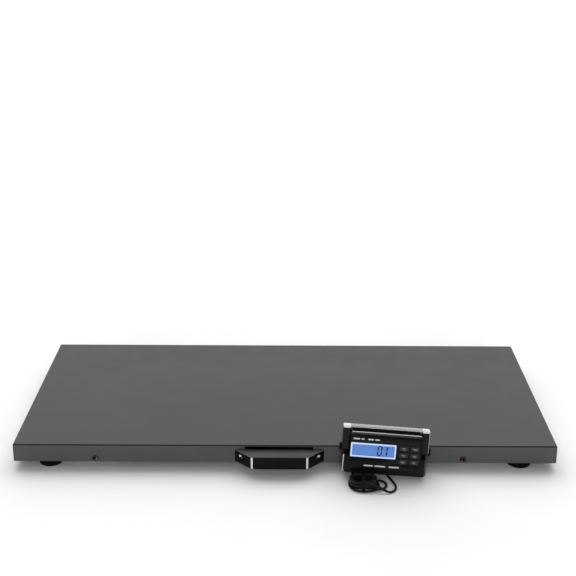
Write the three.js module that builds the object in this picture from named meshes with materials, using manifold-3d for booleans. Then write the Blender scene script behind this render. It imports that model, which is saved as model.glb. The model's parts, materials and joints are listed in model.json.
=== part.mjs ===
// Animal weighing scale: a low steel platform on four load cells and levelling feet, with a pull
// handle, and a display unit on a signal cable that leans against the platform's front edge.
// Millimetres, +Z up, +X along the platform, the front towards -Y.
import * as THREE from "three";
import { mergeVertices } from "three/addons/utils/BufferGeometryUtils.js";
import Module from "manifold-3d";

const wasm = await Module();
wasm.setup();

// ---- Driving dimensions -------------------------------------------------------------------------
const GAP = 0.3; // between pieces that touch

const DECK = { length: 1067, width: 508, top: 50, skirt: 37, sheet: 3 };
const FRONT = -DECK.width / 2; // the front skirt's outer face
const UNDERSIDE = DECK.top - DECK.sheet;
const SKIRT_LOW = DECK.top - DECK.skirt;

const FOOT = { x: 465, y: 229, padRadius: 23, padHeight: 10, studRadius: 5.9, studTop: 44 };
const NUT = { radius: 10.9, height: 5, z: 13 };
const CELL = { inner: 335, outer: 480, width: 30, low: 16, high: 38, boreRadius: 7 };
const CELL_BORES = [408, 424];
const SPACER_OUTER = 395;
const SKIRT_SCREW = { left: -373, right: 350, z: 20.5, headRadius: 4.2, holeRadius: 6, shankRadius: 2.5 };
const RAIL = { y: 120, width: 60, height: 16, sheet: 2.5, length: 1000, crossX: 240 };
const JUNCTION = { x: [150, 260], y: [-235, -160], low: 23.2, lid: 2.5, wall: 2.5 };
const PLATFORM_GLAND = { y: -210, z: 36, tip: 138, radius: 7 };
const LEAD = { diameter: 3.6, spacing: 28 };
const LEAD_START = CELL.inner - GAP;
const [LEAD_LEFT, LEAD_RIGHT] = [JUNCTION.x[0] - GAP, JUNCTION.x[1] + GAP];
// Each load cell's lead, under the deck to the junction box.
const LEAD_ROUTES = {
  front_left: [
    [-LEAD_START, -229, 30],
    [-318, -228, 31],
    [-290, -210, 38],
    [-255, -190, 42],
    [-150, -184, 42.5],
    [0, -184, 42.5],
    [100, -182, 42],
    [135, -180, 41],
    [LEAD_LEFT, -180, 40],
  ],
  front_right: [
    [LEAD_START, -229, 30],
    [320, -228, 31],
    [300, -218, 34],
    [280, -206, 36],
    [LEAD_RIGHT + 1, -205, 36],
    [LEAD_RIGHT, -205, 36],
  ],
  rear_left: [
    [-LEAD_START, 229, 30],
    [-318, 227, 29],
    [-298, 205, 27],
    [-288, 150, 26],
    [-285, 0, 26.5],
    [-284, -110, 26],
    [-270, -152, 27.5],
    [-230, -169, 33],
    [-100, -171, 35],
    [50, -171, 35],
    [125, -170, 35],
    [LEAD_LEFT, -170, 35],
  ],
  rear_right: [
    [LEAD_START, 229, 30],
    [318, 227, 29],
    [300, 205, 27],
    [291, 150, 26],
    [289, 0, 26.5],
    [290, -110, 26],
    [288, -150, 28],
    [283, -172, 31],
    [272, -180, 33],
    [LEAD_RIGHT + 1, -180.3, 33],
    [LEAD_RIGHT, -180.3, 33],
  ],
};

const HANDLE = {
  back: [-98.2, 76.5],
  front: [-65, 44],
  reach: 35,
  low: 16.4,
  high: 41.6,
  wall: 4,
  corner: 9,
  screwX: [-86.7, 65],
  screwZ: 31,
};
const HANDLE_SCREW = { hole: 2.3, shank: 2, head: 3.5, recess: 4 };
const HAND_SLOT = { x: [-78.7, 55.4], z: [20, 46.6] };

const CASE = {
  width: 163,
  topWidth: 139,
  depth: 41,
  height: 82.5,
  shoulder: 36.4,
  corner: 8,
  edge: 4,
  wall: 2.5,
  split: -2,
};
const CASE_PLACE = { x: 190, y: -282.6, z: 8.6, lean: 10, roll: 4.2 };
const FACE = -CASE.depth / 2;
const LABEL = { halfWidth: 68.5, z: [6, 78], recess: 1, thickness: 0.6 };
const BEZEL = { x: -23.9, z: 47.5, width: 87.3, height: 28, border: 2.9, proud: 1.2 };
const KEY = { x: [34.4, 56.2], z: [55.8, 42.4, 29], width: 16.6, height: 9.6, proud: 1.5, room: 0.5 };
const PIVOT_Z = 46;
const BRACKET = { inner: 70, outer: 83.5, halfDepth: 9, barLow: 87.4, bar: 2.8, hole: 3.4 };
const KNOB = { radius: 7.5, length: 4.2, flutes: 12, fluteDepth: 0.6, pinRadius: 2.9, pinEnd: 62 };
const CASE_GLAND = { x: 6, y: 5, z: [5.3, 14], radius: 5 };
const BATTERY = { x: [20, 74], y: [1.5, 17.5], z: [6, 22] };
const BATTERY_COVER = { x: [16, 78], z: [4, 24], thickness: 1.8 };

const CORD = 4.5; // the signal cable's diameter
// The hank's turns share their left ends; the two on the floor reach further to the right.
const HANK = { left: 143.25, y: -325, radius: 18, run: 13, longRun: 33, low: 1.4, layers: 4 };
const TIE = { x: 149.75, halfWidth: 3, thickness: 1, room: 0.65 };

// The cable from the junction box, under the skirt and the display unit to the hank's left end.
const CORD_IN = [
  [137.7, -210, 36],
  [131, -210, 35.5],
  [122.5, -211, 31.5],
  [116, -213.5, 24],
  [112.8, -219, 14],
  [112.5, -228, 6.5],
  [115.5, -239, 3.1],
  [121.5, -251, 2.5],
  [128, -264, 2.4],
  [132, -278, 2.4],
  [131.5, -290, 2.4],
  [127.5, -302, 2.4],
];
// The cable off the top of the hank, down to the floor, round and back under the display unit.
const CORD_OUT = [
  [171, -344.8, 14.6],
  [179, -347.6, 11.4],
  [187, -350.6, 7.4],
  [195, -351.8, 4],
  [202, -350, 2.6],
  [208, -344.6, 2.4],
  [211.4, -336, 2.4],
  [211.6, -325, 2.4],
  [209, -314, 2.4],
  [205, -303, 2.4],
  [201.6, -294, 2.4],
  [199, -286.5, 3],
  [197.4, -281.3, 5.3],
];

// ---- Materials ----------------------------------------------------------------------------------
function finish(color, roughness, metalness) {
  return new THREE.MeshStandardMaterial({ color, roughness, metalness });
}
const deckPaint = finish(0x5e5e60, 0.45, 0.3);
const zincSteel = finish(0x9a9c9c, 0.4, 0.9);
const aluminium = finish(0xb8babc, 0.35, 0.9);
const copperScrew = finish(0x9a6a58, 0.4, 0.8);
const rubber = finish(0x161616, 0.8, 0);
const handlePlastic = finish(0x17181a, 0.3, 0);
const casePlastic = finish(0x1b1c1e, 0.4, 0);
const bracketPaint = finish(0x2c2d2f, 0.3, 0.4);
const labelFilm = finish(0x101113, 0.25, 0);
const keyPlastic = finish(0x4a4b4d, 0.6, 0);
const bezelPlastic = finish(0xd5e4ff, 0.4, 0);
const displayBlue = finish(0x6d9be8, 0.3, 0);
const boardGreen = finish(0x1f5a34, 0.5, 0);
const greyPlastic = finish(0x6f7274, 0.5, 0);
const cableJacket = finish(0x222326, 0.5, 0);

// ---- Solids -------------------------------------------------------------------------------------
function toSolid(geometry) {
  const bare = (geometry.index ? geometry.toNonIndexed() : geometry.clone())
    .deleteAttribute("normal")
    .deleteAttribute("uv");
  const merged = mergeVertices(bare, 1e-3);
  const vertProperties = new Float32Array(merged.attributes.position.array);
  const triVerts = new Uint32Array(merged.index.array);
  return new wasm.Manifold(new wasm.Mesh({ numProp: 3, vertProperties, triVerts }));
}

function toGeometry(solid) {
  const mesh = solid.getMesh();
  const geometry = new THREE.BufferGeometry();
  geometry.setAttribute("position", new THREE.BufferAttribute(new Float32Array(mesh.vertProperties), 3));
  geometry.setIndex(new THREE.BufferAttribute(new Uint32Array(mesh.triVerts), 1));
  geometry.computeVertexNormals();
  return geometry;
}

function cut(base, ...tools) {
  return toGeometry(tools.reduce((solid, tool) => solid.subtract(toSolid(tool)), toSolid(base)));
}

function join(base, ...more) {
  return toGeometry(more.reduce((solid, other) => solid.add(toSolid(other)), toSolid(base)));
}

function keep(base, tool) {
  return toGeometry(toSolid(base).intersect(toSolid(tool)));
}

// A box from its low and high limits along each axis.
function block([x0, x1], [y0, y1], [z0, z1]) {
  const geometry = new THREE.BoxGeometry(x1 - x0, y1 - y0, z1 - z0);
  return geometry.translate((x0 + x1) / 2, (y0 + y1) / 2, (z0 + z1) / 2);
}

// A round bar from one end to the other along one axis, with the other two coordinates given.
function bar(axis, radius, [from, to], [a, b], sides = 24) {
  const geometry = new THREE.CylinderGeometry(radius, radius, to - from, sides);
  const middle = (from + to) / 2;
  if (axis === "x") return geometry.rotateZ(-Math.PI / 2).translate(middle, a, b);
  if (axis === "y") return geometry.translate(a, middle, b);
  return geometry.rotateX(Math.PI / 2).translate(a, b, middle);
}

// A profile of [radius, height] points turned about the Z axis.
function turned(profile, sides = 24) {
  const points = profile.map(([radius, height]) => new THREE.Vector2(radius, height));
  return new THREE.LatheGeometry(points, sides).rotateX(Math.PI / 2);
}

function roundedRectangle(width, height, radius) {
  const [x, y] = [width / 2, height / 2];
  const shape = new THREE.Shape();
  shape.absarc(x - radius, y - radius, radius, 0, Math.PI / 2);
  shape.absarc(radius - x, y - radius, radius, Math.PI / 2, Math.PI);
  shape.absarc(radius - x, radius - y, radius, Math.PI, 1.5 * Math.PI);
  shape.absarc(x - radius, radius - y, radius, 1.5 * Math.PI, 2 * Math.PI);
  shape.closePath();
  return shape;
}

// A shape drawn in X and Z, made solid from one depth to another along Y.
function upright(shape, [back, front], options = {}) {
  const { edge = 0, curveSegments = 3 } = options;
  const geometry = new THREE.ExtrudeGeometry(shape, {
    depth: Math.abs(front - back) - 2 * edge,
    bevelEnabled: edge > 0,
    bevelSize: edge,
    bevelThickness: edge,
    bevelOffset: -edge,
    bevelSegments: 3,
    curveSegments,
  });
  return geometry.rotateX(Math.PI / 2).translate(0, Math.max(back, front) - edge, 0);
}

// A shape drawn in X and Y, made solid from one height to another.
function flat(shape, [low, high], curveSegments = 8) {
  const options = { depth: high - low, bevelEnabled: false, curveSegments };
  return new THREE.ExtrudeGeometry(shape, options).translate(0, 0, low);
}

function plate(width, height, radius, centre, depths) {
  return upright(roundedRectangle(width, height, radius), depths).translate(centre[0], 0, centre[1]);
}

// A tube along a curve through points, with a step about every spacing millimetres.
function tube(points, diameter, spacing = 2.5 * diameter, sides = 8) {
  const path = points.map((point) => new THREE.Vector3(...point));
  const curve = new THREE.CatmullRomCurve3(path, false, "centripetal");
  const section = new THREE.Shape();
  for (let i = 0; i < sides; i += 1) {
    const angle = (2 * Math.PI * i) / sides;
    section[i ? "lineTo" : "moveTo"]((diameter / 2) * Math.cos(angle), (diameter / 2) * Math.sin(angle));
  }
  section.closePath();
  const steps = Math.max(2 * points.length, Math.ceil(curve.getLength() / spacing));
  return new THREE.ExtrudeGeometry(section, { steps, extrudePath: curve, bevelEnabled: false });
}

const scale = new THREE.Group();
const displayUnit = new THREE.Group();
displayUnit.position.set(CASE_PLACE.x, CASE_PLACE.y, CASE_PLACE.z);
const degrees = Math.PI / 180;
displayUnit.rotation.set(-CASE_PLACE.lean * degrees, CASE_PLACE.roll * degrees, 0, "XYZ");

function add(group, name, geometry, material) {
  const mesh = new THREE.Mesh(geometry, material);
  mesh.name = name;
  group.add(mesh);
  return mesh;
}

// ---- Platform -----------------------------------------------------------------------------------
function makeDeck() {
  const [x, y, t] = [DECK.length / 2, DECK.width / 2, DECK.sheet];
  const outside = block([-x, x], [-y, y], [SKIRT_LOW, DECK.top]);
  const inside = block([t - x, x - t], [t - y, y - t], [SKIRT_LOW - 1, UNDERSIDE]);
  const through = [FRONT - 1, FRONT + t + 1];
  const handSlot = block(HAND_SLOT.x, through, HAND_SLOT.z);
  const screwHoles = [SKIRT_SCREW.left, SKIRT_SCREW.right].map((at) =>
    bar("y", SKIRT_SCREW.holeRadius, through, [at, SKIRT_SCREW.z]),
  );
  const handleHoles = HANDLE.screwX.map((at) =>
    bar("y", HANDLE_SCREW.hole, through, [at, HANDLE.screwZ], 12),
  );
  add(scale, "deck", cut(outside, inside, handSlot, ...screwHoles, ...handleHoles), deckPaint);
}

// A hat-section rail along X, its flanges against the deck.
function hatRail(length) {
  const { width, height, sheet } = RAIL;
  const [high, low] = [UNDERSIDE - GAP, UNDERSIDE - GAP - height];
  const half = width / 2;
  const flange = 14;
  const outer = join(
    block([-length / 2, length / 2], [flange - half, half - flange], [low, high]),
    block([-length / 2, length / 2], [-half, half], [high - sheet, high]),
  );
  const channel = [flange - half + sheet, half - flange - sheet];
  return cut(outer, block([-length, length], channel, [low + sheet, high + 1]));
}

function makeRails() {
  add(scale, "rail_front", hatRail(RAIL.length).translate(0, -RAIL.y, 0), zincSteel);
  add(scale, "rail_rear", hatRail(RAIL.length).translate(0, RAIL.y, 0), zincSteel);
  const crossLength = 2 * (RAIL.y - RAIL.width / 2 - 1);
  for (const [name, side] of [["rail_left", -1], ["rail_right", 1]]) {
    const rail = hatRail(crossLength).rotateZ(Math.PI / 2).translate(side * RAIL.crossX, 0, 0);
    add(scale, name, rail, zincSteel);
  }
}

function makeCorner(name, sideX, sideY, screwX) {
  const spanX = (from, to) => (sideX > 0 ? [from, to] : [-to, -from]);
  const at = [sideX * FOOT.x, sideY * FOOT.y];
  const spanY = [at[1] - CELL.width / 2, at[1] + CELL.width / 2];
  const middleZ = (CELL.low + CELL.high) / 2;

  const boreY = [spanY[0] - 1, spanY[1] + 1];
  const cellHoles = [
    bar("z", FOOT.studRadius + 0.4, [CELL.low - 1, CELL.high + 1], at),
    ...CELL_BORES.map((x) => bar("y", CELL.boreRadius, boreY, [sideX * x, middleZ])),
  ];
  if (screwX) {
    const depths = [spanY[0] - 1, spanY[0] + 12];
    cellHoles.push(bar("y", SKIRT_SCREW.shankRadius + 0.4, depths, [screwX, SKIRT_SCREW.z], 16));
  }
  const beam = block(spanX(CELL.inner, CELL.outer), spanY, [CELL.low, CELL.high]);
  add(scale, `load_cell_${name}`, cut(beam, ...cellHoles), aluminium);

  const spacerZ = [CELL.high + GAP, UNDERSIDE - GAP];
  const spacer = block(spanX(CELL.inner, SPACER_OUTER), [spanY[0] + 1, spanY[1] - 1], spacerZ);
  add(scale, `cell_spacer_${name}`, spacer, zincSteel);

  const nut = new THREE.CylinderGeometry(NUT.radius, NUT.radius, NUT.height, 6);
  nut.rotateX(Math.PI / 2).translate(...at, NUT.z);
  const nutBore = bar("z", FOOT.studRadius + 0.4, [NUT.z - NUT.height, NUT.z + NUT.height], at);
  add(scale, `lock_nut_${name}`, cut(nut, nutBore), zincSteel);

  // The stud's head sits in a socket in the pad.
  const { studRadius: r, studTop: top, padRadius: R, padHeight: h } = FOOT;
  const stud = turned([
    [0, 3.3],
    [8, 3.3],
    [8, 8],
    [r, 9.5],
    [r, top - 1],
    [r - 1, top],
    [0, top],
  ]);
  add(scale, `foot_stud_${name}`, stud.translate(...at, 0), zincSteel);
  const pad = turned([
    [0, 0],
    [R - 1, 0],
    [R, 1.2],
    [R, 4],
    [R - 4, h],
    [8.4, h],
    [8.4, 3],
    [0, 3],
  ]);
  add(scale, `foot_pad_${name}`, pad.translate(...at, 0), rubber);
}

function makeSkirtScrew(name, x) {
  const { z, headRadius, shankRadius } = SKIRT_SCREW;
  const head = bar("y", headRadius, [FRONT - 0.8, FRONT + 3.2], [x, z]);
  const shank = bar("y", shankRadius, [FRONT + 3, -FOOT.y - CELL.width / 2 + 10], [x, z], 12);
  const socket = new THREE.CylinderGeometry(2.2, 2.2, 3, 6).translate(x, FRONT - 0.3, z);
  add(scale, name, cut(join(head, shank), socket), copperScrew);
}

function makeJunctionBox() {
  const { x, y, low, lid, wall } = JUNCTION;
  const baseZ = [low + lid + GAP, UNDERSIDE - GAP];
  const inset = ([from, to]) => [from + wall, to - wall];
  const holes = [
    bar("x", 5, [x[0] - 1, x[0] + wall + 1], [PLATFORM_GLAND.y, PLATFORM_GLAND.z]),
    block(inset(x), inset(y), [baseZ[0] - 1, baseZ[1] - wall]),
  ];
  add(scale, "junction_box_base", cut(block(x, y, baseZ), ...holes), greyPlastic);
  add(scale, "junction_box_lid", block(x, y, [low, low + lid]), greyPlastic);

  const { tip, radius } = PLATFORM_GLAND;
  const face = x[0] - GAP - tip;
  const gland = turned(
    [
      [0, 0],
      [4, 0],
      [5.2, 4],
      [radius, 5],
      [radius, face],
      [4.7, face],
      [4.7, face + 6],
      [0, face + 6],
    ],
    20,
  );
  gland.rotateY(Math.PI / 2).translate(tip, PLATFORM_GLAND.y, PLATFORM_GLAND.z);
  add(scale, "platform_gland", gland, cableJacket);
}

function makeCellLeads() {
  for (const [name, points] of Object.entries(LEAD_ROUTES)) {
    add(scale, `cell_lead_${name}`, tube(points, LEAD.diameter, LEAD.spacing), cableJacket);
  }
}

// The handle's plan: wide at the skirt, narrow and round-cornered at the front.
function handlePlan([backLeft, backRight], [frontLeft, frontRight], backY, frontY, corner) {
  const shape = new THREE.Shape();
  shape.moveTo(backLeft, backY);
  const along = (from, to, distance) => {
    const length = Math.hypot(to[0] - from[0], to[1] - from[1]);
    return [0, 1].map((i) => to[i] + ((from[i] - to[i]) * distance) / length);
  };
  const [left, right] = [[frontLeft, frontY], [frontRight, frontY]];
  shape.lineTo(...along([backLeft, backY], left, corner));
  shape.quadraticCurveTo(...left, frontLeft + corner, frontY);
  shape.lineTo(frontRight - corner, frontY);
  shape.quadraticCurveTo(...right, ...along([backRight, backY], right, corner));
  shape.lineTo(backRight, backY);
  shape.closePath();
  return shape;
}

function makeHandle() {
  const { back, front, reach, low, high, wall, corner } = HANDLE;
  const backY = FRONT - GAP;
  const frontY = FRONT - reach;
  const body = flat(handlePlan(back, front, backY, frontY, corner), [low, high]);
  const pocketBack = [HAND_SLOT.x[0] + 0.7, HAND_SLOT.x[1] - 0.7];
  const pocketFront = [front[0] + wall, front[1] - wall];
  const pocketPlan = handlePlan(pocketBack, pocketFront, backY + 1, frontY + wall, corner - 3);
  const tools = [flat(pocketPlan, [low - 1, high - wall])];
  const { hole, shank, head, recess } = HANDLE_SCREW;
  for (const at of HANDLE.screwX) {
    tools.push(bar("y", hole, [frontY, FRONT + 1], [at, HANDLE.screwZ], 12));
    tools.push(bar("y", recess, [frontY, FRONT - 4], [at, HANDLE.screwZ]));
  }
  add(scale, "handle", cut(body, ...tools), handlePlastic);

  ["handle_screw_left", "handle_screw_right"].forEach((name, i) => {
    const place = [HANDLE.screwX[i], HANDLE.screwZ];
    const cap = bar("y", head, [FRONT - 7, FRONT - 4 - GAP], place);
    add(scale, name, join(cap, bar("y", shank, [FRONT - 5, FRONT + 8], place, 12)), zincSteel);
  });
}

// ---- Display unit -------------------------------------------------------------------------------
// The case seen from the front: full width below the shoulders, narrower between the bracket's arms.
function caseOutline(inset) {
  const [a, b] = [CASE.width / 2 - inset, CASE.topWidth / 2 - inset];
  const [low, shoulder, top] = [inset, CASE.shoulder - inset, CASE.height - inset];
  const [r, s] = [CASE.corner - inset, 5 - inset / 2];
  const [quarter, half] = [Math.PI / 2, Math.PI];
  const shape = new THREE.Shape();
  shape.absarc(a - r, low + r, r, -quarter, 0);
  shape.absarc(a - s, shoulder - s, s, 0, quarter);
  shape.lineTo(b, shoulder);
  shape.absarc(b - s, top - s, s, 0, quarter);
  shape.absarc(s - b, top - s, s, quarter, half);
  shape.lineTo(-b, shoulder);
  shape.absarc(s - a, shoulder - s, s, quarter, half);
  shape.absarc(r - a, low + r, r, half, half + quarter);
  shape.closePath();
  return shape;
}

const bezelPlace = [BEZEL.x, BEZEL.z];
const bezelOpening = [BEZEL.width - 2 * BEZEL.border, BEZEL.height - 2 * BEZEL.border];
const labelCentre = [0, (LABEL.z[0] + LABEL.z[1]) / 2];
const labelHeight = LABEL.z[1] - LABEL.z[0];
const keyPlaces = KEY.z.flatMap((z) => KEY.x.map((x) => [x, z]));

function keyHoles(depths) {
  const [width, height] = [KEY.width + 2 * KEY.room, KEY.height + 2 * KEY.room];
  return keyPlaces.map((place) => plate(width, height, 1.5, place, depths));
}

function makeCase() {
  const [back, front] = [CASE.depth / 2, FACE];
  const outside = upright(caseOutline(0), [back, front], { edge: CASE.edge });
  const inside = upright(caseOutline(CASE.wall), [back - CASE.wall, front + CASE.wall]);
  const hollow = cut(outside, inside);
  const everywhere = [-200, 200];
  const pivotHole = bar("x", BRACKET.hole, [-100, 100], [0, PIVOT_Z]);

  const recessDepths = [front + LABEL.recess, front - 1];
  const recess = plate(2 * (LABEL.halfWidth + GAP), labelHeight + 2 * GAP, 3, labelCentre, recessDepths);
  const through = [front + CASE.wall + 1, front - 1];
  const window = plate(bezelOpening[0] + 0.1, bezelOpening[1] + 0.1, 0.6, bezelPlace, through);
  const frontHalf = keep(hollow, block(everywhere, [-100, CASE.split - GAP / 2], everywhere));
  add(displayUnit, "case_front", cut(frontHalf, pivotHole, recess, window, ...keyHoles(through)), casePlastic);

  const backHalf = keep(hollow, block(everywhere, [CASE.split + GAP / 2, 100], everywhere));
  const cordHole = bar("z", CASE_GLAND.radius + 0.5, [-1, CASE.wall + 1], [CASE_GLAND.x, CASE_GLAND.y]);
  const { x, z } = BATTERY;
  const batteryDoor = block([x[0] - 1, x[1] + 1], [back - CASE.wall - 1, back + 1], [z[0] - 1, z[1] + 1]);
  add(displayUnit, "case_back", cut(backHalf, pivotHole, cordHole, batteryDoor), casePlastic);
}

function makeFace() {
  const front = FACE + LABEL.recess - GAP - LABEL.thickness;
  const depths = [front + LABEL.thickness, front];
  const through = [front + 2, front - 1];
  const bezelHole = plate(BEZEL.width + 2 * GAP, BEZEL.height + 2 * GAP, 1.3, bezelPlace, through);
  const label = plate(2 * LABEL.halfWidth, labelHeight, 3, labelCentre, depths);
  add(displayUnit, "face_label", cut(label, bezelHole, ...keyHoles(through)), labelFilm);

  const bezelDepths = [FACE + LABEL.recess - GAP, front - BEZEL.proud];
  const [openWidth, openHeight] = bezelOpening;
  const frame = plate(BEZEL.width, BEZEL.height, 1.2, bezelPlace, bezelDepths);
  const opening = plate(openWidth, openHeight, 0.6, bezelPlace, [FACE + 5, FACE - 5]);
  add(displayUnit, "display_bezel", cut(frame, opening), bezelPlastic);
  const panelDepths = [FACE + 6.5, FACE - 0.1];
  const panel = plate(openWidth - 2 * GAP, openHeight - 2 * GAP, 0.5, bezelPlace, panelDepths);
  add(displayUnit, "display_panel", panel, displayBlue);

  keyPlaces.forEach((place, i) => {
    const key = plate(KEY.width, KEY.height, 1.4, place, [FACE + 5, front - KEY.proud]);
    add(displayUnit, `key_${i + 1}`, key, keyPlastic);
  });
}

function makeInside() {
  add(displayUnit, "circuit_board", block([-64, 64], [FACE + 8, FACE + 9.6], [16, 72]), boardGreen);
  add(displayUnit, "battery_pack", block(BATTERY.x, BATTERY.y, BATTERY.z), greyPlastic);
  const back = CASE.depth / 2 + GAP;
  const cover = block(BATTERY_COVER.x, [back, back + BATTERY_COVER.thickness], BATTERY_COVER.z);
  add(displayUnit, "battery_cover", cover, casePlastic);
  const [low, high] = CASE_GLAND.z;
  const { radius } = CASE_GLAND;
  const gland = turned([[0, low], [3, low], [radius, low + 3], [radius, high], [0, high]], 20);
  add(displayUnit, "case_gland", gland.translate(CASE_GLAND.x, CASE_GLAND.y, 0), rubber);
}

function makeBracket() {
  const { inner, outer, halfDepth, barLow } = BRACKET;
  const top = barLow + BRACKET.bar;
  const depth = [-halfDepth, halfDepth];
  const armBodies = [-1, 1].flatMap((side) => {
    const span = side > 0 ? [inner, outer] : [-outer, -inner];
    return [block(span, depth, [PIVOT_Z, top]), bar("x", halfDepth, span, [0, PIVOT_Z], 32)];
  });
  const crossBar = block([-outer, outer], depth, [barLow, top]);
  const pinHole = bar("x", BRACKET.hole, [-100, 100], [0, PIVOT_Z]);
  add(displayUnit, "bracket", cut(join(crossBar, ...armBodies), pinHole), bracketPaint);
}

// A fluted clamp knob with its pin, which runs through the arm into the case.
function makeKnob(name, side) {
  const shape = new THREE.Shape();
  const points = 6 * KNOB.flutes;
  for (let i = 0; i < points; i += 1) {
    const angle = (2 * Math.PI * i) / points;
    const radius = KNOB.radius - (KNOB.fluteDepth * (1 - Math.cos(KNOB.flutes * angle))) / 2;
    shape[i ? "lineTo" : "moveTo"](radius * Math.cos(angle), radius * Math.sin(angle));
  }
  shape.closePath();
  const from = BRACKET.outer + GAP;
  const grip = new THREE.ExtrudeGeometry(shape, { depth: KNOB.length, bevelEnabled: false });
  grip.rotateY(Math.PI / 2).translate(side > 0 ? from : -from - KNOB.length, 0, PIVOT_Z);
  const span = side > 0 ? [KNOB.pinEnd, from + 1] : [-from - 1, -KNOB.pinEnd];
  const pin = bar("x", KNOB.pinRadius, span, [0, PIVOT_Z], 16);
  add(displayUnit, name, join(grip, pin), handlePlastic);
}

// ---- Signal cable -------------------------------------------------------------------------------
// The outline of turns whose left ends are at the hank's left.
function turns(run, [low, high]) {
  const radius = HANK.radius + CORD / 2;
  const quarter = Math.PI / 2;
  const shape = new THREE.Shape();
  shape.absarc(HANK.left + run, HANK.y, radius, -quarter, quarter);
  shape.absarc(HANK.left, HANK.y, radius, quarter, 3 * quarter);
  shape.closePath();
  return flat(shape, [low, high]);
}

function makeHank() {
  const high = HANK.low + HANK.layers * CORD;
  const onFloor = turns(HANK.longRun, [HANK.low, HANK.low + CORD]);
  add(scale, "cord_hank", join(turns(HANK.run, [HANK.low, high]), onFloor), cableJacket);

  const y = HANK.radius + CORD / 2 + TIE.room;
  const t = TIE.thickness;
  const spanX = [TIE.x - TIE.halfWidth, TIE.x + TIE.halfWidth];
  const spanZ = [HANK.low - GAP, high + GAP];
  const band = block(spanX, [HANK.y - y - t, HANK.y + y + t], [spanZ[0] - t, spanZ[1] + t]);
  const room = block([spanX[0] - 1, spanX[1] + 1], [HANK.y - y, HANK.y + y], spanZ);
  add(scale, "cord_tie", cut(band, room), cableJacket);
}

function makeCord() {
  add(scale, "cord_in", tube(CORD_IN, CORD), cableJacket);
  displayUnit.updateMatrixWorld(true);
  const exit = CASE_GLAND.z[0] - GAP;
  const upToGland = [exit - 2.5, exit].map((z) =>
    displayUnit.localToWorld(new THREE.Vector3(CASE_GLAND.x, CASE_GLAND.y, z)).toArray(),
  );
  add(scale, "cord_out", tube([...CORD_OUT, ...upToGland], CORD), cableJacket);
}

// ---- Assembly -----------------------------------------------------------------------------------
makeDeck();
makeRails();
makeCorner("front_left", -1, -1, SKIRT_SCREW.left);
makeCorner("front_right", 1, -1, SKIRT_SCREW.right);
makeCorner("rear_left", -1, 1);
makeCorner("rear_right", 1, 1);
makeSkirtScrew("skirt_screw_left", SKIRT_SCREW.left);
makeSkirtScrew("skirt_screw_right", SKIRT_SCREW.right);
makeJunctionBox();
makeCellLeads();
makeHandle();
makeCase();
makeFace();
makeInside();
makeBracket();
makeKnob("knob_left", -1);
makeKnob("knob_right", 1);
makeHank();
makeCord();
scale.add(displayUnit);

// The origin is under the middle of the object, measured without the free cable.
scale.updateMatrixWorld(true);
const box = new THREE.Box3();
scale.traverse((o) => {
  if (o.isMesh && !o.name.startsWith("cord_")) box.expandByObject(o, true);
});
const middle = box.getCenter(new THREE.Vector3());
scale.position.set(-middle.x, -middle.y, -box.min.z);

export default scale;
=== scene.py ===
"""The looks of the animal weighing scale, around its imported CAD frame. Lengths are in millimetres
until a mesh is made, where they become metres."""

import json
import math

import bmesh
import bpy
from mathutils import Matrix, Vector


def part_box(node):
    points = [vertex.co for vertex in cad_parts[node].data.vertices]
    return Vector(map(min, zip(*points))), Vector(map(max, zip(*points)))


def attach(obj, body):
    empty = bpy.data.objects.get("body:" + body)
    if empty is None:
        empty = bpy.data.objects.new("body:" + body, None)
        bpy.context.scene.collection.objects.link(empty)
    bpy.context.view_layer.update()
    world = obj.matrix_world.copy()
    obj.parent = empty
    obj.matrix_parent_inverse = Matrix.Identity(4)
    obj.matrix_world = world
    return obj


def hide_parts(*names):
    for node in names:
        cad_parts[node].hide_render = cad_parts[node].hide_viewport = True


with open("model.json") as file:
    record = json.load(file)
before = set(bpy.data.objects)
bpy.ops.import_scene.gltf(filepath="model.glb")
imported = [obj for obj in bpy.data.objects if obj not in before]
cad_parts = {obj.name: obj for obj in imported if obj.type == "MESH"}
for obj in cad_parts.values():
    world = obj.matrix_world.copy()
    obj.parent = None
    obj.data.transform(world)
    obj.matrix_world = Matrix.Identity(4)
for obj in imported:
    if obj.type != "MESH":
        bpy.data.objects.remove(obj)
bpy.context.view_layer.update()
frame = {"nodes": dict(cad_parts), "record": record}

MM = 0.001
CORNERS = ("front_left", "front_right", "rear_left", "rear_right")

# ---- Places read from the frame -----------------------------------------------------------------
deck_low, deck_high = (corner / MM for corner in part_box("deck"))
FRONT = deck_low.y
DECK_TOP = deck_high.z
PLATFORM_Y = (deck_low.y + deck_high.y) / 2

# The display unit's own frame: its origin is under the middle of the case, with X along its width.
# It leans back against the deck's edge, with its right end a little low.
UNIT_PLACE = (190, PLATFORM_Y - 282.6, 8.6)
UNIT_LEAN, UNIT_TILT = 10, 4.2
UNIT = (
    Matrix.Translation(UNIT_PLACE)
    @ Matrix.Rotation(math.radians(-UNIT_LEAN), 4, "X")
    @ Matrix.Rotation(math.radians(UNIT_TILT), 4, "Y")
)
UNIT_NODES = ("case_front", "case_back", "bracket")
ARM_INSIDE = 69.9
BAR_LOW = 86
BRACKET_SPLITS = ((0, 0, BAR_LOW), (-ARM_INSIDE, 0, 0), (ARM_INSIDE, 0, 0))

# Depths of the faces that print lies on, and of the case's back.
LABEL_FRONT = -20.4
DISPLAY_FRONT = -20.6
KEY_FRONT = -21.9
CASE_BACK = 20.5
COVER_BACK = 22.95

# Middles of the keys, across and up.
KEY_PLACES = [(x, z) for z in (55.8, 42.4, 29) for x in (34.4, 56.2)]


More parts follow.
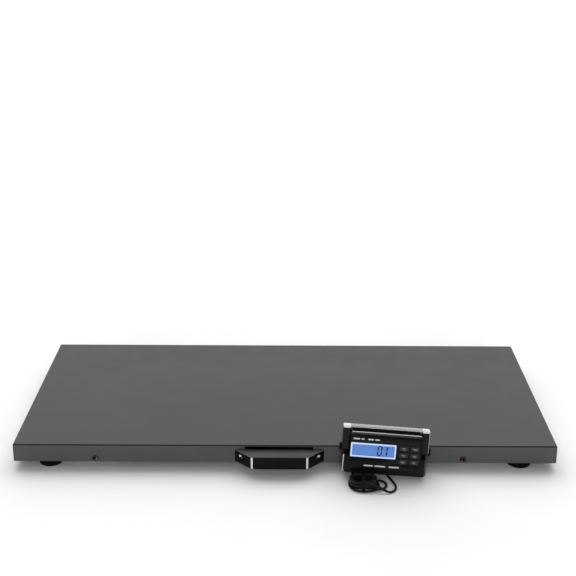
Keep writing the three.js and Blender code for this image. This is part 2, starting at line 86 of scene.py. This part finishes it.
# ---- Camera -------------------------------------------------------------------------------------
def make_camera():
    """Looks down at the front edge from in front of its middle."""
    data = bpy.data.cameras.new("camera")
    data.sensor_width = 36
    data.lens = 72.06
    data.clip_end = 50
    camera = bpy.data.objects.new("camera", data)
    side, distance, height, pitch, roll = 4.5, 2017, 1106, 19.86, 0.25
    place = Matrix.Translation(Vector((side, FRONT - distance, height)) * MM)
    tip = Matrix.Rotation(math.radians(90 - pitch), 4, "X")
    camera.matrix_world = place @ tip @ Matrix.Rotation(math.radians(roll), 4, "Z")
    bpy.context.collection.objects.link(camera)
    bpy.context.scene.camera = camera


# ---- Materials ----------------------------------------------------------------------------------
class Surface:
    """A principled material whose colour, roughness and height come from noise in object space."""

    def __init__(self, name, color, roughness, metallic=0.0, specular=0.5):
        self.name = name
        self.material = bpy.data.materials.new(name)
        self.material.use_nodes = True
        self.nodes = self.material.node_tree.nodes
        self.links = self.material.node_tree.links
        self.shader = self.nodes["Principled BSDF"]
        self.shader.inputs["Base Color"].default_value = (*color, 1)
        self.shader.inputs["Roughness"].default_value = roughness
        self.shader.inputs["Metallic"].default_value = metallic
        self.shader.inputs["Specular IOR Level"].default_value = specular
        self.color = color
        self.roughness = roughness
        self.coordinates = self.nodes.new("ShaderNodeTexCoord")
        self.height = None

    def noise(self, size, detail, stretch=(1, 1, 1)):
        """Noise with features about size mm across, longer along an axis of small stretch."""
        mapping = self.nodes.new("ShaderNodeMapping")
        mapping.inputs["Scale"].default_value = stretch
        self.links.new(self.coordinates.outputs["Object"], mapping.inputs["Vector"])
        texture = self.nodes.new("ShaderNodeTexNoise")
        texture.inputs["Scale"].default_value = 1 / (size * MM)
        texture.inputs["Detail"].default_value = detail
        self.links.new(mapping.outputs["Vector"], texture.inputs["Vector"])
        return texture.outputs["Fac"]

    def between(self, factor, low, high):
        """Maps the middle part of a noise's range to a range of values."""
        node = self.nodes.new("ShaderNodeMapRange")
        node.inputs["From Min"].default_value = 0.3
        node.inputs["From Max"].default_value = 0.7
        node.inputs["To Min"].default_value = low
        node.inputs["To Max"].default_value = high
        self.links.new(factor, node.inputs["Value"])
        return node.outputs["Result"]

    def mottle(self, size, amount, stretch=(1, 1, 1)):
        """Varies the colour's brightness by amount over patches of that size."""
        factor = self.between(self.noise(size, 3, stretch), 1 - amount, 1 + amount)
        scaled = self.nodes.new("ShaderNodeVectorMath")
        scaled.operation = "SCALE"
        scaled.inputs[0].default_value = self.color
        self.links.new(factor, scaled.inputs["Scale"])
        self.links.new(scaled.outputs["Vector"], self.shader.inputs["Base Color"])
        return self

    def smudge(self, size, amount):
        """Varies the roughness by amount over patches of that size."""
        low, high = self.roughness - amount, self.roughness + amount
        factor = self.between(self.noise(size, 4), low, high)
        self.links.new(factor, self.shader.inputs["Roughness"])
        return self

    def bump(self, size, depth, stretch=(1, 1, 1)):
        """Adds relief of about depth mm at that size, on top of any relief already there."""
        node = self.nodes.new("ShaderNodeBump")
        node.inputs["Strength"].default_value = 1.0
        node.inputs["Distance"].default_value = depth * MM
        self.links.new(self.noise(size, 2, stretch), node.inputs["Height"])
        if self.height:
            self.links.new(self.height, node.inputs["Normal"])
        self.height = node.outputs["Normal"]
        self.links.new(self.height, self.shader.inputs["Normal"])
        return self

    def glow(self, color, strength):
        self.shader.inputs["Emission Color"].default_value = (*color, 1)
        self.shader.inputs["Emission Strength"].default_value = strength
        return self

    def coat(self, weight, roughness):
        self.shader.inputs["Coat Weight"].default_value = weight
        self.shader.inputs["Coat Roughness"].default_value = roughness
        return self


def srgb(*values):
    """Linear colour from 0 to 255 display values; one value is a grey."""
    values = values * 3 if len(values) == 1 else values
    shares = [value / 255 for value in values]
    return tuple(v / 12.92 if v <= 0.04 else ((v + 0.055) / 1.055) ** 2.4 for v in shares)


def make_materials():
    made = [
        Surface("deck_paint", srgb(79, 79, 80), 0.5, specular=0.18)
        .mottle(160, 0.03)
        .smudge(60, 0.05)
        .bump(1.3, 0.012)
        .bump(0.35, 0.004)
        .coat(0.05, 0.06),
        # Painted shade: a darker copy of the deck paint, for the rounded fold along the deck's top
        # edges.
        Surface("deck_fold_painted_shade", srgb(44), 0.5, specular=0.15)
        .mottle(25, 0.08)
        .smudge(8, 0.08)
        .bump(1.3, 0.012),
        Surface("zinc_steel", srgb(176, 178, 180), 0.4, 1.0)
        .mottle(6, 0.08)
        .smudge(3, 0.1)
        .bump(0.8, 0.01),
        Surface("cell_aluminium", srgb(205, 207, 210), 0.35, 1.0)
        .mottle(2, 0.05, stretch=(0.1, 1, 1))
        .bump(0.3, 0.01, stretch=(0.05, 1, 1)),
        # Black rubber for the feet and the case's gland; also painted shade in the skirt screws'
        # sockets and in the rings round their heads.
        Surface("foot_rubber", srgb(16), 0.8, specular=0.15)
        .mottle(8, 0.15)
        .smudge(5, 0.1)
        .bump(0.5, 0.04),
        Surface("copper_screw", srgb(232, 152, 122), 0.36, 0.8)
        .mottle(1.2, 0.2)
        .smudge(1, 0.12)
        .bump(0.4, 0.02),
        Surface("grey_plastic", srgb(118, 121, 124), 0.55).mottle(20, 0.04).bump(0.5, 0.015),
        Surface("handle_plastic", srgb(9), 0.35, specular=0.1)
        .mottle(15, 0.15)
        .smudge(12, 0.05)
        .bump(0.6, 0.006),
        # Painted highlight: a lighter, glossier copy of the handle plastic, for the handle's upward
        # faces.
        Surface("handle_top_painted_highlight", srgb(62), 0.32, specular=0.5)
        .mottle(30, 0.08)
        .smudge(12, 0.04)
        .bump(0.6, 0.001),
        # Silver for the handle's screw heads, painted brighter as a glint there; elsewhere a
        # painted highlight on lit edges of the handle, the case and the bracket.
        Surface("silver_and_painted_highlight", srgb(222, 222, 224), 0.4, 0.2)
        .mottle(5, 0.04)
        .smudge(3, 0.06)
        .bump(0.5, 0.005),
        # Painted highlight: a bright metallic stand-in for light on the bracket's dark cross bar.
        Surface("bar_painted_highlight", srgb(214, 214, 216), 0.22, 0.9)
        .mottle(4, 0.05)
        .smudge(3, 0.06)
        .bump(0.5, 0.001),
        # Painted highlight: a light grey for the bevels along the handle's upper sides.
        Surface("handle_edge_painted_highlight", srgb(120), 0.35, 0.3).mottle(6, 0.1).smudge(3, 0.08).bump(0.5, 0.01),
        Surface("case_plastic", srgb(14), 0.42, specular=0.2)
        .mottle(12, 0.1)
        .smudge(8, 0.05)
        .bump(0.35, 0.02),
        # Painted sheen: a lighter copy of the case plastic, for the case's top and right front
        # bevels.
        Surface("case_bevel_painted_sheen", srgb(62), 0.4, specular=0.4)
        .mottle(12, 0.1)
        .smudge(8, 0.05)
        .bump(0.35, 0.02),
        # Painted shade: a darker, duller copy of the case plastic, for the case's top face, which
        # lies in the shade of the bracket's bar.
        Surface("case_top_painted_shade", srgb(6), 0.7, specular=0.03).mottle(12, 0.15).bump(0.35, 0.02),
        Surface("bracket_plastic", srgb(16), 0.32, specular=0.2)
        .mottle(10, 0.1)
        .smudge(6, 0.05)
        .bump(0.35, 0.012),
        Surface("label_film", srgb(8, 8, 9), 0.3, specular=0.2)
        .mottle(30, 0.1)
        .smudge(20, 0.05)
        .bump(0.5, 0.004),
        Surface("bezel_plastic", srgb(192, 210, 238), 0.4)
        .mottle(6, 0.02)
        .bump(0.4, 0.005)
        .glow(srgb(205, 222, 250), 0.25),
        Surface("display_blue", srgb(70, 108, 170), 0.25)
        .mottle(25, 0.06)
        .bump(2, 0.004)
        .glow(srgb(86, 134, 210), 0.4),
        Surface("key_plastic", srgb(48, 48, 50), 0.6, specular=0.3)
        .mottle(3, 0.1)
        .smudge(3, 0.05)
        .bump(0.3, 0.02),
        Surface("ink", srgb(196, 200, 204), 0.6).mottle(1, 0.08),
        Surface("key_ink", srgb(130, 130, 132), 0.6).mottle(1, 0.08),
        Surface("segment", srgb(8, 14, 36), 0.6, specular=0.2).mottle(1, 0.1),
        Surface("board_green", srgb(34, 96, 56), 0.4).mottle(3, 0.15).bump(1, 0.02),
        Surface("cable_jacket", srgb(17, 17, 18), 0.4, specular=0.35)
        .mottle(6, 0.15)
        .smudge(4, 0.08)
        .bump(0.6, 0.03),
        Surface("tie_strap", srgb(12), 0.6, specular=0.25).mottle(2, 0.15).bump(0.4, 0.05),
    ]
    return {surface.name: surface.material for surface in made}


# ---- Mesh helpers -------------------------------------------------------------------------------
SMOOTH_ANGLE = 35


def object_from(bm, name, material, body, placed=None):
    """An object that rides on a body, from a bmesh in millimetres that is placed first."""
    bm.transform(Matrix.Scale(MM, 4) @ (placed or Matrix.Identity(4)))
    bmesh.ops.recalc_face_normals(bm, faces=bm.faces)
    mesh = bpy.data.meshes.new(name)
    bm.to_mesh(mesh)
    bm.free()
    mesh.materials.append(material)
    mesh.shade_smooth()
    mesh.set_sharp_from_angle(angle=math.radians(SMOOTH_ANGLE))
    obj = bpy.data.objects.new(name, mesh)
    bpy.context.collection.objects.link(obj)
    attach(obj, body)
    return obj


def sharp_edges(bm, angle):
    limit = math.radians(angle)
    return [e for e in bm.edges if len(e.link_faces) == 2 and e.calc_face_angle(0) > limit]


def round_edges(bm, edges, width, segments):
    bmesh.ops.bevel(
        bm,
        geom=edges,
        offset=width,
        segments=segments,
        profile=0.5,
        affect="EDGES",
        clamp_overlap=True,
    )


def join_rings(bm, rings, closed=False):
    """Skins rings of points, each to the next, and the last to the first if closed."""
    made = [[bm.verts.new(point) for point in ring] for ring in rings]
    for a, b in zip(made, made[1:] + made[:1] if closed else made[1:]):
        for i in range(len(a)):
            j = (i + 1) % len(a)
            bm.faces.new((a[i], a[j], b[j], b[i]))
    return made


def rings_about(x, z, profile, sides):
    """Rings round a front-to-back axis at x and z, one for each radius and depth in profile."""
    turns = [2 * math.pi * i / sides for i in range(sides)]
    return [
        [(x + radius * math.cos(turn), y, z + radius * math.sin(turn)) for turn in turns]
        for radius, y in profile
    ]


def middle_of(node):
    low, high = (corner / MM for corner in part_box(node))
    return (low + high) / 2


def refined(
    node,
    material,
    width,
    segments=3,
    angle=40,
    choose=None,
    first_width=None,
    accents=(),
    splits=(),
):
    """A copy of a CAD node with its flat faces whole and its edges rounded, which stands for it.
    Edges sharper than angle are rounded by width, after those that choose picks by first_width.
    Each accent is a material and a test of a face's middle and normal, in the display unit's frame
    for the nodes that are listed as in it. Faces are divided by a plane through each point in
    splits, square to its line from the unit's origin."""
    source = frame["nodes"][node]
    bm = bmesh.new()
    bm.from_mesh(source.data)
    bm.transform(Matrix.Scale(1 / MM, 4))
    bmesh.ops.remove_doubles(bm, verts=bm.verts, dist=0.002)
    flat = math.radians(0.4)
    bmesh.ops.dissolve_limit(bm, angle_limit=flat, verts=bm.verts, edges=bm.edges)
    if choose:
        chosen = [e for e in sharp_edges(bm, angle) if choose(e)]
        round_edges(bm, chosen, first_width, segments=5)
    round_edges(bm, sharp_edges(bm, angle), width, segments)
    bmesh.ops.recalc_face_normals(bm, faces=bm.faces)
    bm.normal_update()
    local = UNIT.inverted() if node in UNIT_NODES else Matrix.Identity(4)
    for point in splits:
        point = Vector(point)
        bmesh.ops.bisect_plane(
            bm,
            geom=[*bm.verts, *bm.edges, *bm.faces],
            plane_co=UNIT @ point,
            plane_no=UNIT.to_3x3() @ point.normalized(),
        )
    for face in bm.faces:
        middle = local @ face.calc_center_median()
        normal = local.to_3x3() @ face.normal
        for number, (_, test) in enumerate(accents, 1):
            if test(middle, normal):
                face.material_index = number
    record = frame["record"]
    body = next(b for b, nodes in record["behaviour"]["bodies"].items() if node in nodes)
    obj = object_from(bm, f"{node}_fine", material, body)
    for accent, _ in accents:
        obj.data.materials.append(accent)
    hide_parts(node)


def bar_mesh(bm, x, z, width, height, y, thickness, lean=0.0):
    """Adds a round-ended bar that stands out from depth y by its thickness."""
    radius = min(width, height) / 2
    steps = 5
    points = []
    for side, end, start in ((1, 1, 0), (-1, 1, 90), (-1, -1, 180), (1, -1, 270)):
        centre_x, centre_z = x + side * (width / 2 - radius), z + end * (height / 2 - radius)
        for i in range(steps):
            angle = math.radians(start + 90 * i / (steps - 1))
            px, pz = centre_x + radius * math.cos(angle), centre_z + radius * math.sin(angle)
            points.append((px + lean * (pz - z), pz))
    front = [bm.verts.new((px, y - thickness, pz)) for px, pz in points]
    back = [bm.verts.new((px, y, pz)) for px, pz in points]
    bm.faces.new(front)
    bm.faces.new(back[::-1])
    for i in range(len(points)):
        j = (i + 1) % len(points)
        bm.faces.new((front[j], front[i], back[i], back[j]))


# ---- Cable --------------------------------------------------------------------------------------
CORD = 4.5
HANK_LEFT, HANK_Y, HANK_LOW = 143.25, -325, 1.4
WIDE, TIGHT = 18, 13.5
# Each turn of the hank: its end radius, its straight run, and its layer.
TURNS = (
    (WIDE, 33, 0),
    (TIGHT, 23, 0),
    (TIGHT, 13, 1),
    (WIDE, 13, 1),
    (WIDE, 13, 2),
    (TIGHT, 13, 2),
    (TIGHT, 13, 3),
    (WIDE, 13, 3),
)

# The stretches before and after the hank, with Y from the platform's middle.
CORD_IN = [
    (137.7, -210, 36),
    (131, -210, 35.5),
    (122.5, -211, 31.5),
    (116, -213.5, 24),
    (112.8, -219, 14),
    (112.5, -228, 6.5),
    (115.5, -239, 3.1),
    (121.5, -251, 2.5),
    (128, -264, 2.4),
    (132, -278, 2.4),
    (131.5, -290, 2.4),
    (127.5, -302, 2.4),
    (124, -313, 2.6),
    (123.8, -324, 3),
    (126.4, -334.5, 3.2),
    (133, -343.5, 3),
    (144, -348.6, 2.6),
    (156, -349, 2.6),
    (167, -346.4, 3.1),
]
CORD_OUT = [
    (163, -343.6, 16.6),
    (171, -344.8, 14.6),
    (179, -347.6, 11.4),
    (187, -350.6, 7.4),
    (195, -351.8, 4),
    (202, -350, 2.6),
    (208, -344.6, 2.4),
    (211.4, -336, 2.4),
    (211.6, -325, 2.4),
    (209, -314, 2.4),
    (205, -303, 2.4),
    (201.6, -294, 2.4),
    (199, -286.5, 3),
    (197.4, -281.3, 5.3),
]
# The lower end of the case's gland, in the unit's frame, and the straight stretch below it.
GLAND = (6, 5, 5)
GLAND_LEAD = 2.5


def smooth_through(points, per_span=4):
    """A centripetal spline through points, as a dense list."""
    ends = [2 * points[0] - points[1], *points, 2 * points[-1] - points[-2]]
    made = []
    for p0, p1, p2, p3 in zip(ends, ends[1:], ends[2:], ends[3:]):
        t0 = 0.0
        t1 = t0 + (p1 - p0).length ** 0.5
        t2 = t1 + (p2 - p1).length ** 0.5
        t3 = t2 + (p3 - p2).length ** 0.5
        for i in range(per_span):
            t = t1 + (t2 - t1) * i / per_span
            a1 = p0 * ((t1 - t) / (t1 - t0)) + p1 * ((t - t0) / (t1 - t0))
            a2 = p1 * ((t2 - t) / (t2 - t1)) + p2 * ((t - t1) / (t2 - t1))
            a3 = p2 * ((t3 - t) / (t3 - t2)) + p3 * ((t - t2) / (t3 - t2))
            b1 = a1 * ((t2 - t) / (t2 - t0)) + a2 * ((t - t0) / (t2 - t0))
            b2 = a2 * ((t3 - t) / (t3 - t1)) + a3 * ((t - t1) / (t3 - t1))
            made.append(b1 * ((t2 - t) / (t2 - t1)) + b2 * ((t - t1) / (t2 - t1)))
    return [*made, points[-1]]


def hank_points():
    """The turns of the hank. Each goes round its right end, back to the left, round and forward.
    It eases over to the next turn's size and layer in its second half, or sooner on the first."""
    made = []
    bends, runs = range(10), range(1, 6)
    for number, turn in enumerate(TURNS):
        following = TURNS[min(number + 1, len(TURNS) - 1)]
        stations = [(-90 + 18 * i, 1) for i in bends] + [(90, 1 - i / 6) for i in runs]
        stations += [(90 + 18 * i, 0) for i in bends] + [(270, i / 6) for i in runs]
        leave, move = 0.5 if number else 0.3, 0.47
        for i, (angle, along) in enumerate(stations):
            share = min(1, max(0, (i / len(stations) - leave) / move))
            share = share * share * (3 - 2 * share)
            radius, run, layer = (a + (b - a) * share for a, b in zip(turn, following))
            angle = math.radians(angle)
            x = HANK_LEFT + run * along + radius * math.cos(angle)
            y = HANK_Y + radius * math.sin(angle)
            made.append(Vector((x, y, HANK_LOW + CORD * (layer + 0.5))))
    return made


def make_cord(materials):
    shift = Vector((0, PLATFORM_Y, 0))
    laid = [Vector(p) + shift for p in (*CORD_IN, *hank_points(), *CORD_OUT)]
    gland_low = Vector(GLAND)
    gland_lead = gland_low - Vector((0, 0, GLAND_LEAD))
    route = smooth_through([*laid, UNIT @ gland_lead, UNIT @ gland_low])

    data = bpy.data.curves.new("signal_cable", "CURVE")
    data.dimensions = "3D"
    data.bevel_depth = CORD / 2 * MM
    data.bevel_resolution = 4
    data.use_fill_caps = True
    spline = data.splines.new("POLY")
    spline.points.add(len(route) - 1)
    for point, at in zip(spline.points, route):
        point.co = (*(at * MM), 1)
    spline.use_smooth = True
    data.materials.append(materials["cable_jacket"])
    cable = bpy.data.objects.new("signal_cable", data)
    bpy.context.collection.objects.link(cable)
    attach(cable, "root")
    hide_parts("cord_in", "cord_hank", "cord_out")
    tie = make_tie(materials)


def make_tie(materials):
    """A strap round the hank's waist."""
    low, high = (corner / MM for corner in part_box("cord_tie"))
    middle = (low + high) / 2
    half_x, half_y = (high.x - low.x) / 2, (high.y - low.y) / 2
    corner, thickness, clearance, steps = 5.0, 0.9, 0.1, 6
    outline = []
    for side, up, start in ((1, 1, 0), (-1, 1, 90), (-1, -1, 180), (1, -1, 270)):
        centre_y = middle.y + side * (half_y - corner)
        centre_z = (high.z if up > 0 else low.z) - up * (clearance + corner)
        for i in range(steps + 1):
            angle = math.radians(start + 90 * i / steps)
            outline.append((centre_y, centre_z, math.cos(angle), math.sin(angle)))
    inner = corner - thickness
    rings = [
        [(middle.x + x, cy + radius * c, cz + radius * s) for cy, cz, c, s in outline]
        for radius, x in ((corner, -half_x), (corner, half_x), (inner, half_x), (inner, -half_x))
    ]
    bm = bmesh.new()
    join_rings(bm, rings, closed=True)
    round_edges(bm, sharp_edges(bm, 50), 0.25, 2)
    tie = object_from(bm, "cable_tie", materials["tie_strap"], "root")
    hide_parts("cord_tie")
    return tie


# ---- Display face -------------------------------------------------------------------------------
PRINT_THICKNESS = 0.08
DIGIT_THICKNESS = 0.05


def make_print(materials):
    """Plain bars stand where the label and the keys have print."""
    upper_row, lower_row = 69.2, 17
    bm = bmesh.new()
    for x, width in ((-57.5, 13), (-45.5, 6), (-30, 11), (-17.5, 9)):
        bar_mesh(bm, x, upper_row, width, 2.6, LABEL_FRONT, PRINT_THICKNESS)
    for x, width in ((-31, 18), (-8.5, 21), (18.5, 20)):
        bar_mesh(bm, x, lower_row, width, 2.8, LABEL_FRONT, PRINT_THICKNESS, lean=0.25)
    object_from(bm, "label_print", materials["ink"], "root", UNIT)
    for number, (x, z) in enumerate(KEY_PLACES, 1):
        bm = bmesh.new()
        width = 6.5 + 1.2 * (number % 3)
        bar_mesh(bm, x - 0.5, z + 0.6, width, 1.5, KEY_FRONT, PRINT_THICKNESS)
        bar_mesh(bm, x + 0.5, z - 1.9, width * 0.6, 0.9, KEY_FRONT, PRINT_THICKNESS)
        object_from(bm, f"key_{number}_print", materials["key_ink"], f"key_{number}", UNIT)


def make_digits(materials):
    """The reading, as seven-segment figures."""
    width, height, stroke, lean = 6.8, 18.5, 2.4, 0.06
    end_gap, side_gap, dot = 1.9, 1.3, 2.1
    base = 47.5 - height / 2
    # Segments by their usual letters: heights and sides as shares of a figure.
    level = {"a": 1.0, "g": 0.5, "d": 0.0}
    upright = {"f": (0, 0.75), "b": (1, 0.75), "e": (0, 0.25), "c": (1, 0.25)}
    bm = bmesh.new()

    def stroke_at(x, z, across, up, slope=0.0):
        bar_mesh(bm, x, z, across, up, DISPLAY_FRONT, DIGIT_THICKNESS, slope)

    for left, segments in ((-15.4, "abcdef"), (-5.2, "bc")):
        for name in segments:
            side, share = upright.get(name) or (0.5, level[name])
            x, z = left + side * width + lean * share * height, base + share * height
            if name in level:
                stroke_at(x, z, width - end_gap, stroke)
            else:
                stroke_at(x, z, stroke, height / 2 - side_gap, lean)
    stroke_at(-4.6, base, dot, dot)
    object_from(bm, "display_digits", materials["segment"], "root", UNIT)


def make_back_details(materials):
    """Case screws, and the ridges that a thumb pushes the battery cover by."""
    # Radius and height above the back: down the head's side, over its rim, and into its recess.
    head = ((3.3, -0.6), (3.3, 0.3), (2.9, 0.8), (1.6, 0.9), (1.5, 0.1), (0.1, 0.1))
    profile = [(radius, CASE_BACK + rise) for radius, rise in head]
    for number, (x, z) in enumerate(((-70, 12), (-60, 70), (60, 70), (70, 31)), 1):
        bm = bmesh.new()
        rings = join_rings(bm, rings_about(x, z, profile, 24))
        bm.faces.new(rings[0])
        bm.faces.new(rings[-1][::-1])
        object_from(bm, f"case_screw_{number}", materials["zinc_steel"], "root", UNIT)
    first, pitch, width, height, thickness = 28, 3.2, 1.4, 12, 0.45
    bm = bmesh.new()
    for i in range(6):
        bar_mesh(bm, first + pitch * i, 14, width, height, COVER_BACK, thickness)
    object_from(bm, "battery_cover_ridges", materials["case_plastic"], "battery_cover", UNIT)


# ---- Pieces that stand for CAD nodes ------------------------------------------------------------
def make_platform(materials):
    # The deck's rounded top fold takes the darker copy of its paint as painted shade.
    def top_fold(middle, normal):
        return 0.1 < normal.z < 0.97 and middle.z > DECK_TOP - 3

    def deck_top(edge):
        return all(v.co.z > DECK_TOP - 0.2 for v in edge.verts)

    refined(
        "deck",
        materials["deck_paint"],
        0.8,
        angle=30,
        choose=deck_top,
        first_width=2.4,
        accents=[(materials["deck_fold_painted_shade"], top_fold)],
    )
    handle_low, handle_high = (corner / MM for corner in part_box("handle"))

    def outer_top(edge):
        on_top = all(v.co.z > handle_high.z - 0.2 for v in edge.verts)
        return on_top and any(v.co.y < handle_high.y - 1 for v in edge.verts)

    # The handle's upward faces take the painted highlight.
    def upward(middle, normal):
        return normal.z > 0.5 and middle.z > handle_high.z - 4

    # Painted highlight: the handle's rounded front corners are silver where light catches them.
    def corner_strip(middle, normal):
        turn = math.degrees(math.atan2(abs(normal.x), -normal.y))
        return 19 < turn < 27.5 and abs(normal.z) < 0.4 and middle.y < handle_low.y + 8

    # Painted highlight along the bevels of the handle's upper sides.
    def side_edge(middle, normal):
        return abs(normal.x) > 0.3 and 0.25 < abs(normal.z) < 0.85 and middle.y < FRONT

    refined(
        "handle",
        materials["handle_plastic"],
        0.7,
        angle=30,
        choose=outer_top,
        first_width=1.6,
        accents=[
            (materials["handle_top_painted_highlight"], upward),
            (materials["silver_and_painted_highlight"], corner_strip),
            (materials["handle_edge_painted_highlight"], side_edge),
        ],
    )
    for corner in CORNERS:
        refined(f"foot_pad_{corner}", materials["foot_rubber"], 0.5, 2, 25)
        refined(f"foot_stud_{corner}", materials["zinc_steel"], 0.3, 2)
        refined(f"lock_nut_{corner}", materials["zinc_steel"], 0.4, 2)
        refined(f"load_cell_{corner}", materials["cell_aluminium"], 0.4, 2)
        refined(f"cell_spacer_{corner}", materials["zinc_steel"], 0.4, 2)
    for name in ("rail_front", "rail_rear", "rail_left", "rail_right"):
        refined(name, materials["zinc_steel"], 0.6, 2)
    # The handle's screw heads are silver, painted brighter as a glint.
    for name in ("handle_screw_left", "handle_screw_right"):
        refined(name, materials["silver_and_painted_highlight"], 0.5, 3)
    for name in ("skirt_screw_left", "skirt_screw_right"):
        centre = middle_of(name)

        # Painted shade: the inside of each screw's socket is dark.
        def socket(middle, normal):
            off_axis = math.hypot(middle.x - centre.x, middle.z - centre.z)
            return off_axis < 2.1 and middle.y < FRONT + 4

        socket_painted_shade = (materials["foot_rubber"], socket)
        refined(name, materials["copper_screw"], 0.35, accents=[socket_painted_shade])
        # Painted shade: a dark ring fills the hole round each head.
        make_painted_shade_ring(f"{name}_painted_shade_ring", centre, materials["foot_rubber"])
    refined("junction_box_base", materials["grey_plastic"], 0.6, 2)
    refined("junction_box_lid", materials["grey_plastic"], 0.6, 2)
    refined("platform_gland", materials["cable_jacket"], 0.4, 2)
    for corner in CORNERS:
        frame["nodes"][f"cell_lead_{corner}"].material_slots[0].material = materials["cable_jacket"]


def make_painted_shade_ring(name, centre, material):
    """A dark ring between a screw head and the hole that it stands in, as painted shade in the
    hole.
    """
    # Radius and depth behind the skirt's face, round the ring's section.
    section = ((5.9, 1.6), (5.6, 0.7), (5.0, 0.5), (4.4, 0.7), (4.3, 2.4), (5.9, 2.4))
    profile = [(radius, FRONT + depth) for radius, depth in section]
    bm = bmesh.new()
    join_rings(bm, rings_about(centre.x, centre.z, profile, 32), closed=True)
    object_from(bm, name, material, "root")


def make_display_unit(materials):
    # Painted light on the case's front half: silver highlights along its top front edge and its
    # left front edge, a lighter sheen on its top and right bevels, and painted shade on its top
    # face under the bracket's bar.
    def top_line(middle, normal):
        return middle.z > 79 and normal.y < -0.1 and normal.z > 0.8

    def top_bevel(middle, normal):
        return middle.z > 77 and normal.y < -0.25 and 0.15 < normal.z <= 0.8

    def top_face(middle, normal):
        return middle.z > 81 and normal.z > 0.97

    def left_line(middle, normal):
        return middle.x < -77 and normal.y < -0.1 and -0.9 < normal.x < -0.5

    def right_bevel(middle, normal):
        return middle.x > 77 and normal.y < -0.1 and normal.x > 0.2

    accents = [
        (materials["silver_and_painted_highlight"], top_line),
        (materials["case_bevel_painted_sheen"], top_bevel),
        (materials["case_top_painted_shade"], top_face),
        (materials["silver_and_painted_highlight"], left_line),
        (materials["case_bevel_painted_sheen"], right_bevel),
    ]
    refined("case_front", materials["case_plastic"], 0.5, accents=accents)
    # The back half's top face takes the same painted shade.
    back_accents = [(materials["case_top_painted_shade"], top_face)]
    refined("case_back", materials["case_plastic"], 0.5, accents=back_accents)
    refined("face_label", materials["label_film"], 0.15, 2)
    refined("display_bezel", materials["bezel_plastic"], 0.5, 3)
    refined("display_panel", materials["display_blue"], 0.3, 2)

    # Painted highlights on the bracket: its cross bar's upper and front faces, its arms' tops, and
    # its right arm's front edge.
    def cross_bar(middle, normal):
        return middle.z > BAR_LOW and normal.z > -0.3

    def arm_top(middle, normal):
        return middle.z > BAR_LOW and abs(middle.x) > ARM_INSIDE - 0.1

    def right_line(middle, normal):
        return middle.x > 82 and normal.y < -0.2 and 0.2 < normal.x and middle.z > 48

    accents = [
        (materials["bar_painted_highlight"], cross_bar),
        (materials["silver_and_painted_highlight"], arm_top),
        (materials["silver_and_painted_highlight"], right_line),
    ]
    plastic = materials["bracket_plastic"]
    refined("bracket", plastic, 1.0, 4, accents=accents, splits=BRACKET_SPLITS)
    refined("battery_cover", materials["case_plastic"], 0.5, 3)
    refined("battery_pack", materials["grey_plastic"], 0.6, 2)
    refined("circuit_board", materials["board_green"], 0.2, 1)
    refined("case_gland", materials["foot_rubber"], 0.4, 2)
    for side in ("left", "right"):
        refined(f"knob_{side}", materials["handle_plastic"], 0.8, 3, 50)
    for number in range(1, 7):
        refined(f"key_{number}", materials["key_plastic"], 0.9, 4)
    make_print(materials)
    make_digits(materials)
    make_back_details(materials)


# ---- Studio -------------------------------------------------------------------------------------
def make_studio():
    """A pale floor under a broad soft light from behind, with a dim room in front."""
    world = bpy.data.worlds.new("studio")
    bpy.context.scene.world = world
    world.use_nodes = True
    nodes, links = world.node_tree.nodes, world.node_tree.links
    direction = nodes.new("ShaderNodeTexCoord")
    parts = nodes.new("ShaderNodeSeparateXYZ")
    level = nodes.new("ShaderNodeMapRange")
    room = {"From Min": -0.9, "From Max": 0.9, "To Min": 0.12, "To Max": 0.54}
    for socket, value in room.items():
        level.inputs[socket].default_value = value
    links.new(direction.outputs["Generated"], parts.inputs["Vector"])
    links.new(parts.outputs["Y"], level.inputs["Value"])
    # Beyond the floor the camera sees white, whatever light the room gives there.
    ray = nodes.new("ShaderNodeLightPath")
    strength = nodes.new("ShaderNodeMath")
    strength.operation = "MAXIMUM"
    links.new(level.outputs["Result"], strength.inputs[0])
    links.new(ray.outputs["Is Camera Ray"], strength.inputs[1])
    links.new(strength.outputs["Value"], nodes["Background"].inputs["Strength"])
    nodes["Background"].inputs["Color"].default_value = (1, 1, 1, 1)
    bpy.context.scene.view_settings.view_transform = "Standard"

    mesh = bpy.data.meshes.new("floor")
    half = 80.0
    corners = [(-half, -half, 0), (half, -half, 0), (half, half, 0), (-half, half, 0)]
    mesh.from_pydata(corners, [], [(0, 1, 2, 3)])
    floor = bpy.data.objects.new("floor", mesh)
    bpy.context.collection.objects.link(floor)
    paper = Surface("floor", (0.86, 0.86, 0.86), 0.8, specular=0.1).mottle(300, 0.01)
    mesh.materials.append(paper.material)

    def soft_sun(name, elevation, spread, energy, side):
        """A broad light from the back, side 1, or the front, side -1."""
        data = bpy.data.lights.new(name, "SUN")
        data.energy = energy
        data.angle = math.radians(spread)
        light = bpy.data.objects.new(name, data)
        rise = math.radians(elevation)
        toward = Vector((0, side * math.cos(rise), math.sin(rise)))
        light.rotation_euler = toward.to_track_quat("Z", "Y").to_euler()
        light.visible_glossy = False
        bpy.context.collection.objects.link(light)

    soft_sun("back_light", elevation=38, spread=80, energy=3.75, side=1)
    soft_sun("front_light", elevation=13, spread=46, energy=1.65, side=-1)


# ---- Assembly -----------------------------------------------------------------------------------
make_camera()
materials = make_materials()
make_cord(materials)
make_platform(materials)
make_display_unit(materials)
make_studio()
